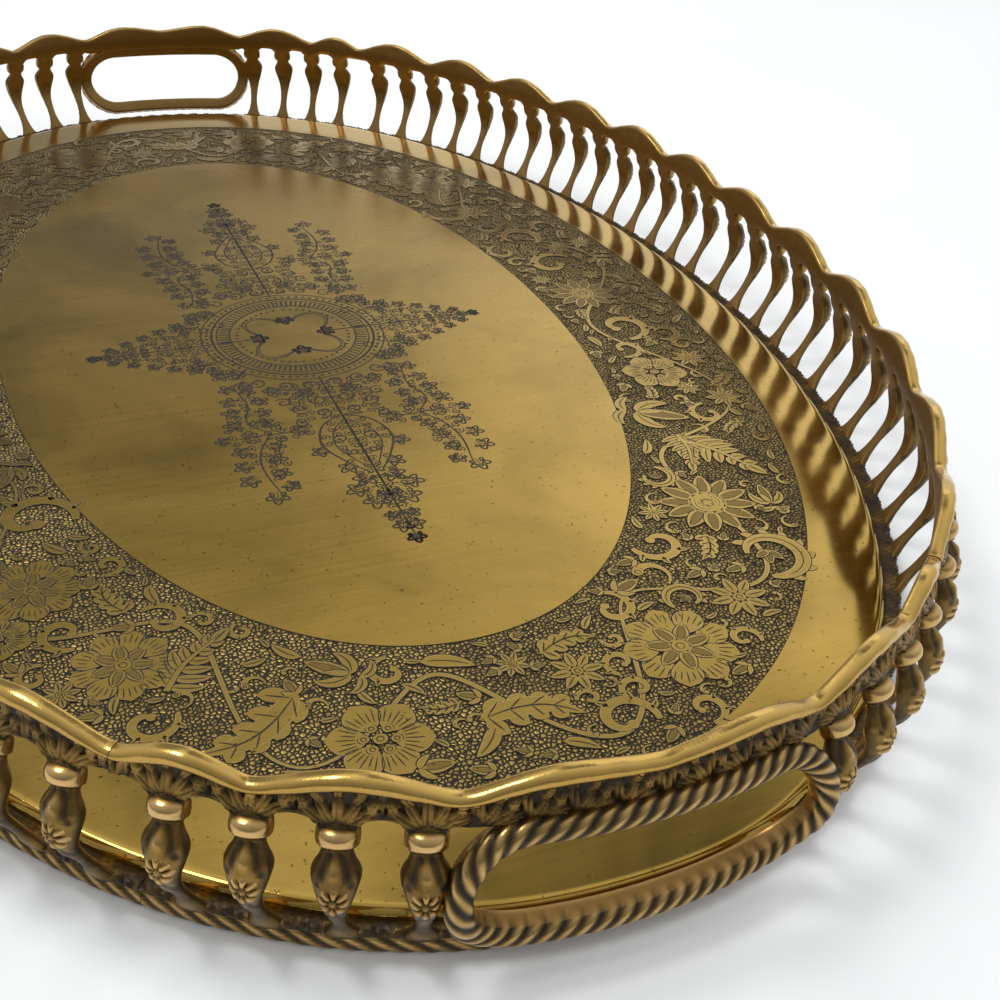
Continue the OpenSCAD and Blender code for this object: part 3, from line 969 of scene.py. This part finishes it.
    def curl(self, R):
        """A volute: a stem that winds into a knob, with small leaves on its back."""
        t = np.linspace(0, 1, 22)
        a = -0.5 + TAU * 0.85 * t
        r = R * (1 - 0.72 * t)
        pts = circle(0, 0, r, a)
        self.fill(pts, R * (0.05 + 0.09 * np.sin(np.pi * t ** 0.8)) + 0.25, 0.35)
        self.level = 1
        self.disc(*pts[-1], 0.17 * R, ring=False)
        for i in (2, 5, 9):
            self.level = 0
            self.petal(*pts[i], a[i] + 0.5, 0.42 * R, 0.1 * R, 7, vein=True, bend=0.7)

    def paisley(self, R):
        t = np.linspace(0, 1, 20)
        a = 0.2 + TAU * 0.78 * t
        r = R * (0.85 - 0.35 * t)
        pts = circle(0, 0, r, a)
        for i in range(2, 18, 2):
            self.level = i % 3
            self.petal(*pts[i], a[i] + 0.7, 0.38 * R, 0.09 * R, 7, bend=0.6)
        self.level = 3
        self.fill(pts, R * (0.05 + 0.12 * np.sin(np.pi * t ** 0.7)), 0.35)
        self.line(pts[2:-3], 0.2)
        self.level = 4
        for k, ln in ((0.0, 0.5), (0.8, 0.42), (-0.8, 0.42)):
            self.petal(-0.1 * R, -0.05 * R, k + 0.3, ln * R, 0.1 * R, 7, loop=True)

    def tulip(self, R):
        for sgn in (1, -1):
            self.level = 0
            self.petal(-0.6 * R, 0, sgn * 0.75, 1.2 * R, 0.2 * R, 10, vein=True, bend=-sgn * 1.5)
            self.petal(-0.9 * R, 0, sgn * 1.7, 0.9 * R, 0.14 * R, 9, vein=True, bend=-sgn * 1.9)
        self.level = 2
        self.petal(-0.6 * R, 0, 0, 1.5 * R, 0.27 * R, 10, loop=True)
        for a in (-0.3, 0.3):
            self.petal(-0.55 * R, 0, a, 0.75 * R, 0.11 * R, 7)

    def twig(self, R):
        self.petal(-R, 0, 0.15, 1.9 * R, 0.3 * R, 9, vein=True, bend=-0.7)

    def comma(self, R):
        t = np.linspace(0, 1, 12)
        a = TAU * 0.55 * t
        r = R * (1 - 0.5 * t)
        pts = circle(-0.2 * R, -0.3 * R, r, a)
        self.fill(pts, 0.1 + 0.22 * R * t ** 1.2 + 0.02 * R, 0.3)
        self.level = 1
        self.disc(*pts[-1], 0.26 * R, ring=R > 3)

    def bud(self, R):
        self.petal(-0.9 * R, 0, 0, 1.7 * R, 0.42 * R, 8, loop=True)
        for sgn in (1, -1):
            self.petal(-1.0 * R, 0, sgn * 0.9, 1.1 * R, 0.17 * R, 7, bend=-sgn * 0.9)


def band_point(t, k):
    """Point of the etched band: parameter t round it and share k across it."""
    a = BAND_IN[0] + (BAND_OUT[0] - BAND_IN[0]) * k
    c = BAND_IN[1] + (BAND_OUT[1] - BAND_IN[1]) * k
    x, y = edge(t)
    return x * a / PLATE_A, y * c / PLATE_B


def tangent(x, y):
    return math.atan2(x / BAND_OUT[0] ** 2, -y / BAND_OUT[1] ** 2)


# Motif, place, radius and turn in degrees, for the near half of the band.
MOTIFS = [
    ("daisy", 161, 97, 16.5, 10), ("peony", 222, 52, 16.5, 20), ("paisley", 192, 101, 14, -40),
    ("star_flower", 208, 80, 9.5, 0), ("feather", 136, 118, 17, 28), ("feather", 131, 107, 12, -20),
    ("tulip", 104, 110, 13, 60), ("daisy", 0, 130, 15, 0), ("curl", -33, 131, 12, 150),
    ("curl", 34, 131, 12, 20), ("blossom", 74, 125, 13, 10), ("curl", 176, 70, 9, -60),
    ("comma", 190, 62, 7, 30), ("curl", 243, 24, 9, 100), ("star_flower", 222, 20, 8, 0),
    ("leaf", 232, 2, 14, 80), ("twig", 209, -12, 8, 60), ("leaf", 210, 22, 9, 100),
    ("blossom", 229, -38, 14, 15), ("leaf", 215, -66, 16, -60), ("tulip", 200, -42, 9, -130),
    ("feather", 184, -75, 14, 130), ("peony", 181, -93, 14, 0), ("peony", 141, -112, 14, 40),
    ("curl", 105, -108, 13, 100), ("paisley", 66, -128, 12, 200), ("leaf", 152, -92, 8, 200),
    ("twig", 238, -14, 7, -50), ("curl", 206, -28, 6, 200), ("blossom", 160, -122, 9, 0),
    ("leaf", 183, 84, 7, -30), ("curl", 246, 46, 6, 20), ("daisy", 30, -132, 13, 0),
    ("star_flower", -102, 118, 10, 0), ("feather", -128, 112, 15, 160), ("peony", -160, 98, 15, 0),
]


def etched_band():
    pens = [Etch() for _ in range(4)]
    taken = []

    def quadrant(x, y):
        return pens[(0 if x >= 0 else 1) + (0 if y >= 0 else 2)]

    def draw(kind, x, y, R, turn, flip=1):
        pen = quadrant(x, y)
        pen.place(x, y, math.radians(turn), flip)
        getattr(pen, kind)(R)
        taken.append((x, y, R * 0.92))

    # The vine that winds along the band.
    for start in range(8):
        t = np.linspace(start * TAU / 8, (start + 1) * TAU / 8, 60)
        share = 0.5 + 0.3 * np.sin(12 * t)
        x, y = band_point(t, share)
        pen = quadrant(x[30], y[30])
        pen.place(0, 0)
        pen.fill(np.stack([x, y], 1), 0.55 + 0.15 * np.sin(np.linspace(0, 9, 60)), 0.35)
    for kind, x, y, R, turn in MOTIFS:
        draw(kind, x, y, R, turn)
        clear = all((x + tx) ** 2 + (y + ty) ** 2 > (0.75 * (R + tr)) ** 2 for tx, ty, tr in taken)
        if clear:
            draw(kind, -x, -y, R, turn + 180)
    kinds = {7.5: ["curl", "leaf", "star_flower", "tulip", "paisley"],
             5.2: ["curl", "leaf", "star_flower", "bud", "twig"],
             3.6: ["twig", "bud", "comma", "curl"],
             2.4: ["twig", "comma", "bud"]}
    for R, tries in ((7.5, 900), (5.2, 1600), (3.6, 2600), (2.4, 3600)):
        for _ in range(tries):
            t, k = rng.uniform(0, TAU), rng.uniform(0, 1)
            spin, pick = rng.uniform(-0.9, 0.9), rng.integers(0, 1000)
            x, y = (float(v) for v in band_point(t, k))
            if min(k, 1 - k) * BAND_WIDTH < R + 0.6:
                continue
            if any((x - tx) ** 2 + (y - ty) ** 2 < (0.93 * (R + tr)) ** 2 for tx, ty, tr in taken):
                continue
            kind = kinds[R][pick % len(kinds[R])]
            turn = math.degrees(tangent(x, y) + spin) + (180 if pick % 2 else 0)
            draw(kind, x, y, R, turn, 1 if pick % 3 else -1)
    names = ["near_right", "far_right", "near_left", "far_left"]
    for pen, where in zip(pens, names):
        pen.b.piece("etched_band_" + where, [motif_mat, line_mat, recess_mat, glint_mat], None,
            "plate", recalc=False, sharp=30)


etched_band()


# ---------------------------------------------------------------- engraved medallion
class Medallion:
    """Dark engraved lines, mirrored four ways about the middle of the plate."""

    CX = 5.0
    MIRRORS = [(1, 1), (1, -1), (-1, 1), (-1, -1)]

    def __init__(self):
        self.b = Build()
        self.count = 0

    def height(self):
        """Every mark gets a slightly different height, so that no two lie in one plane."""
        self.count += 1
        return PLATE_TOP + 0.008 + 0.00002 * (self.count % 200)

    def line(self, pts, w=0.28, even=False):
        pts = np.array(pts, float)
        n = len(pts)
        half = w * (np.ones(n) if even else np.sin(np.pi * np.linspace(0.1, 0.9, n)) ** 0.5)
        z = self.height()
        for mirror in self.MIRRORS:
            beside = sides(pts * np.array(mirror))
            grid = np.stack([beside(half), beside(-half)], 1)
            grid = np.concatenate([grid, np.full((n, 2, 1), z)], -1)
            grid[..., 0] += self.CX
            self.b.ribbon(grid, [0])

    def blob(self, x, y, r):
        """A small hexagonal dot."""
        p = circle(x, y, r, around(6))
        z = self.height()
        for sx, sy in self.MIRRORS:
            start = self.b.add(np.stack([sx * p[:, 0] + self.CX, sy * p[:, 1], np.full(6, z)], 1),
                0.5)
            self.b.faces((start + np.arange(6)[::sx * sy])[None])

    def scroll(self, x, y, r, a0, turn=1, turns=1.1, w=0.32):
        t = np.linspace(0, 1, 20)
        a = a0 + turn * TAU * turns * t
        q = r * (1 - 0.78 * t)
        self.line(circle(x, y, q, a), w)
        self.blob(x + q[-1] * math.cos(a[-1]), y + q[-1] * math.sin(a[-1]), 0.5)

    def leaf(self, x, y, size, ang):
        """A small lobed leaf: outlines of pointed lobes, a mid line and dots."""
        lobes = 5
        size = size * 1.3
        a = np.linspace(-2.5, 2.5, 8 * lobes + 1)
        k = np.abs(np.cos(lobes * a / 2 * 1.15))
        r = size * (0.55 + 0.5 * k ** 1.6) * (0.75 + 0.25 * np.cos(a))
        self.line(circle(x, y, r, a + ang), 0.36, even=True)
        self.line(circle(x, y, 0.55 * r, a + ang), 0.24, even=True)
        self.line(circle(x, y, np.linspace(-0.6, 0.7, 4) * size, ang), 0.2)
        for da in (-0.9, 0.9):
            self.blob(x + 0.35 * size * math.cos(ang + da), y + 0.35 * size * math.sin(ang + da),
                0.42)

    def stem(self, ctrl, w=0.3, n=14):
        self.line(spline(ctrl, n), w)


def medallion():
    m = Medallion()
    q = np.linspace(0, math.pi / 2, 41)
    # Plain cross-shaped centre.
    r = 20.5 - 9.5 * np.abs(np.cos(2 * q)) ** 2.2
    for k in (1.0, 1.07):
        m.line(np.stack([k * r * np.cos(q) * 1.05, k * r * np.sin(q)], 1), 0.28, even=True)
    # Toothed and dotted oval bands.
    for a, c, w in ((26.5, 24.5, 0.35), (31.5, 29.5, 0.3), (33.5, 31.5, 0.5), (37.5, 35.5, 0.3)):
        m.line(np.stack([a * np.cos(q), c * np.sin(q)], 1), w, even=True)
    for g in np.linspace(0.03, math.pi / 2 - 0.03, 22):
        m.line([(27.0 * math.cos(g), 25.0 * math.sin(g)),
            (30.8 * math.cos(g), 28.8 * math.sin(g))], 0.42, even=True)
    for g in np.linspace(0.05, math.pi / 2 - 0.05, 18):
        m.blob(35.4 * math.cos(g), 33.4 * math.sin(g), 0.75)
    for g in np.linspace(0.1, math.pi / 2 - 0.1, 12):
        m.blob(23.3 * math.cos(g), 21.6 * math.sin(g), 0.7)
    # Star points along Y: a leafy border, scrolls and a tip.
    for i in range(8):
        k = i / 7
        x, y = 24.5 * (1 - k) ** 0.9 + 0.6, 28 + 48 * k
        m.leaf(x, y, 3.3 - 1.3 * k, 0.5 + 0.8 * k)
        m.scroll(x * 0.62, y - 1.5, 3.4 - 1.6 * k, 1.2 + i, 1 if i % 2 else -1, 1.0, 0.34)
    for i in range(6):
        y = 36 + 7 * i
        m.scroll(3.6 - 0.4 * i, y, 2.9 - 0.3 * i, 2.4 * i, 1, 1.2, 0.36)
    m.stem([(0.2, 12), (0.2, 40), (0.2, 78)], 0.25, 12)
    m.leaf(0.3, 14.5, 3.4, -math.pi / 2)
    m.leaf(14.5, 0.3, 3.4, math.pi)
    for i in range(90):
        y = 30 + 46 * rng.random()
        x = (24 * (1 - (y - 30) / 48)) * rng.random()
        m.blob(x, y, 0.42)
    # Diagonal scrolls outside the ring.
    for g in (0.35, 0.6, 0.85, 1.1):
        m.scroll(42.5 * math.cos(g), 40.5 * math.sin(g), 3.6, 2.5 * g, 1 if g > 0.7 else -1, 1.2,
            0.36)
    for g in (0.2, 0.48, 0.73, 0.98, 1.25):
        m.leaf(47 * math.cos(g), 44 * math.sin(g) * 0.93, 3.2, g)
    # Spray along X.
    for i, (x, y, rr) in enumerate(((42, 5, 4.2), (47, 11.5, 3.8), (53, 5, 4.4), (58, 13, 3.8),
            (63, 6, 3.6), (52, 17.5, 3.2), (68, 14.5, 3.0))):
        m.scroll(x, y, rr, 1.7 * i, 1 if i % 2 else -1, 1.25, 0.4)
    m.stem([(36, 0.2), (70, 0.2), (146, 0.2)], 0.28, 20)
    m.stem([(66, 1), (72, 9), (84, 12.5), (96, 8), (106, 1.5)], 0.42, 24)
    m.stem([(70, 1), (76, 6), (86, 8), (96, 4.5), (103, 1)], 0.3, 20)
    m.scroll(82, 5, 3.0, 0.5, 1, 1.2, 0.34)
    m.scroll(91, 3.6, 2.4, 2.5, -1, 1.1, 0.34)
    for i, (x, y, s, a) in enumerate(((72, 16, 3.2, 1.4), (88, 13.5, 3.0, 1.2),
            (100, 7.5, 3.2, 0.9), (108, 4.5, 3.8, 0.6), (114, 8.5, 3.6, 1.3), (121, 5.0, 4.2, 0.3),
            (118, 1.5, 2.6, 0.0), (131, 2.8, 2.6, 0.6), (137, 1.6, 3.2, 0.3),
            (144, 0.2, 2.8, 0.0))):
        m.leaf(x, y, s, a)
    for i in range(40):
        x, y = 104 + 24 * rng.random(), 8.5 * rng.random()
        m.blob(x, y, 0.4)
    # Side sprays: a rising stem that parts into two leafy branches.
    m.stem([(70, 15), (72.5, 21), (72, 30), (72.5, 41)], 0.36, 14)
    m.stem([(72, 27), (62, 33), (50, 30), (37, 32)], 0.36, 18)
    m.stem([(72, 27), (82, 33), (94, 35), (109, 33)], 0.36, 18)
    m.scroll(68.5, 24, 2.6, 0.0, 1, 1.2, 0.34)
    m.scroll(76, 24, 2.6, 3.1, -1, 1.2, 0.34)
    m.scroll(69.5, 34, 2.2, 0.0, 1, 1.1, 0.3)
    m.scroll(75, 34, 2.2, 3.1, -1, 1.1, 0.3)
    for x, y, s, a in ((64, 28, 3.0, -1.9), (63, 37.5, 3.2, 1.7), (57, 27, 3.0, -1.8),
            (55, 36, 3.4, 1.9), (49, 26, 3.0, -2.0), (47, 35, 3.2, 2.0), (41, 28.5, 2.8, -2.4),
            (38, 34, 3.2, 2.7), (80, 28, 3.0, -1.2), (81, 38.5, 3.2, 1.4), (88, 30, 3.2, -1.3),
            (90, 40, 3.2, 1.2), (97, 30.5, 3.0, -1.1), (99, 40, 3.4, 1.1), (105, 29.5, 3.0, -0.8),
            (110, 34.5, 3.6, 0.2), (72.4, 43, 2.6, 1.57)):
        m.leaf(x, y, s, a)
    # Close scrollwork inside the star, the sprays and the side branches.
    def inside(x, y):
        star = (x / 60) ** 0.8 + (y / 78) ** 0.8 < 1 and (x / 40) ** 2 + (y / 38) ** 2 > 1
        spray = 40 < x < 70 and y < 20 - 0.25 * (x - 40)
        lyre = 66 < x < 108 and y < 11 * math.sin(math.pi * (x - 62) / 46)
        tip = 104 < x < 142 and y < 9 * (1 - (x - 104) / 42)
        branch = 38 < x < 108 and abs(y - 32 + 0.0035 * (x - 72) ** 2) < 5.5 and rng.random() < 0.75
        stalk = 66 < x < 78 and 12 < y < 42
        return star or spray or lyre or tip or branch or stalk

    for gx in np.arange(2.0, 145, 4.3):
        for gy in np.arange(1.6, 78, 4.3):
            x, y = gx + rng.uniform(-0.7, 0.7), gy + rng.uniform(-0.7, 0.7)
            spin, turn = rng.uniform(0, TAU), 1 if rng.random() < 0.5 else -1
            if inside(x, y):
                m.scroll(x, max(y, 1.2), 1.9, spin, turn, 1.1, 0.28)
                m.blob(x + 1.6 * math.cos(spin + 2), max(0.4, y + 1.6 * math.sin(spin + 2)), 0.4)
    m.b.piece("engraved_medallion", [line_mat], None, "plate", recalc=False, sharp=30)


medallion()

# ---------------------------------------------------------------- floor, light and camera
FLOOR_SIZE, FLOOR_Z = 6000, -0.02
floor = Build()
steps = np.linspace(-FLOOR_SIZE, FLOOR_SIZE, 3)
floor.grid(np.array([[(x, y, FLOOR_Z) for x in steps] for y in steps]), 0.5)
mesh = bpy.data.meshes.new("studio_floor")
mesh.from_pydata((np.concatenate(floor.v) * MM).tolist(), [], floor.f)
floor_obj = new_object("studio_floor", mesh)
fl = Nodes("pale_floor")
fl.bsdf.inputs["Roughness"].default_value = 0.55
fl.link(fl.ramp(fl.noise(fl.coords(), 3, 2),
    [(0.3, (0.84, 0.85, 0.85)), (0.7, (0.87, 0.88, 0.88))]), fl.bsdf.inputs["Base Color"])
mesh.materials.append(fl.mat)

world = bpy.data.worlds.new("studio")
bpy.context.scene.world = world
sky = Nodes("studio", world, "Background")
sky.bsdf.inputs["Color"].default_value = (0.95, 0.97, 1.0, 1)
ray = sky.new("ShaderNodeTexCoord").outputs["Generated"]
axes = sky.new("ShaderNodeSeparateXYZ")
sky.link(ray, axes.inputs[0])


# Brighter behind the tray, on its +Y side and overhead than in front.
behind = sky.math("ADD", sky.math("MULTIPLY", axes.outputs["X"], -0.75), 0.4, True)
beside = sky.math("MULTIPLY", axes.outputs["Y"], 1.0, True)
above = sky.math("MULTIPLY", axes.outputs["Z"], 1.0, True)
glow = sky.math("ADD", sky.math("MULTIPLY", behind, 0.42), sky.math("MULTIPLY", beside, 0.30))
glow = sky.math("ADD", glow, sky.math("MULTIPLY", above, 0.28))
glow = sky.math("ADD", glow, 0.22)


def sky_patch(strength, azimuth, elevation, inner, outer, factor):
    """Multiplies the sky's strength inside a soft round patch, angles in degrees."""
    az, el = math.radians(azimuth), math.radians(elevation)
    dot = sky.new("ShaderNodeVectorMath", operation="DOT_PRODUCT")
    sky.link(ray, dot.inputs[0])
    dot.inputs[1].default_value = (math.cos(el) * math.cos(az), math.cos(el) * math.sin(az),
        math.sin(el))
    fade = sky.new("ShaderNodeMapRange", interpolation_type="SMOOTHSTEP",
        From_Min=math.cos(math.radians(outer)), From_Max=math.cos(math.radians(inner)),
        To_Min=1.0, To_Max=factor)
    sky.link(dot.outputs["Value"], fade.inputs["Value"])
    return sky.math("MULTIPLY", strength, fade.outputs["Result"])


# A dark doorway, a dark ceiling patch, two bright windows and a bright low wall, seen in the plate.
for patch in ((176, 32, 7, 24, 0.36), (143, 50, 5, 15, 0.25), (146, 32, 5, 18, 1.65),
              (172, 54, 5, 17, 1.5), (165, 12, 4, 12, 1.8)):
    glow = sky_patch(glow, *patch)
sky.give(Strength=glow)


def area(name, place, target, size, power, colour=(1, 1, 1)):
    light = bpy.data.lights.new(name, "AREA")
    light.shape = "RECTANGLE"
    light.size, light.size_y = size
    light.energy = power
    light.color = colour
    obj = new_object(name, light)
    obj.location = place
    obj.rotation_euler = (Vector(place) - Vector(target)).to_track_quat("Z", "Y").to_euler()
    return obj


# The first three light only the floor and patina; the last one gives the bead its highlights.
area("key", (-1.3, 0.5, 1.5), (0, 0, 0), (1.2, 0.8), 9, (1.0, 0.97, 0.92)).visible_glossy = False
area("fill", (0.9, 1.3, 1.6), (0.1, 0, 0), (1.4, 1.4), 6).visible_glossy = False
area("front", (1.1, -0.9, 1.6), (0.3, 0, 0), (1.6, 1.6), 8).visible_glossy = False
area("top", (-0.35, -0.6, 1.8), (0.1, 0, 0), (0.7, 0.5), 12)

cam = bpy.data.cameras.new("view")
cam.sensor_width = 36.0
cam.lens = 45.18
cam.clip_start, cam.clip_end = 0.01, 50
cam_obj = new_object("view", cam)
# Where it looks, how far away it is, and its direction and roll.
target, distance = Vector((0.1388, 0.0324, 0.0105)), 0.40577
azimuth, elevation, roll = math.radians(-25.13), math.radians(33.47), 0.072
back = Vector((math.cos(elevation) * math.cos(azimuth), math.cos(elevation) * math.sin(azimuth),
    math.sin(elevation)))
right = Vector((0, 0, 1)).cross(back).normalized()
up = back.cross(right)
right_r = right * math.cos(roll) + up * math.sin(roll)
up_r = -right * math.sin(roll) + up * math.cos(roll)
pose = Matrix((right_r, up_r, back)).transposed().to_4x4()
pose.translation = target + back * distance
cam_obj.matrix_world = pose
bpy.context.scene.camera = cam_obj
bpy.context.scene.view_settings.view_transform = "Standard"
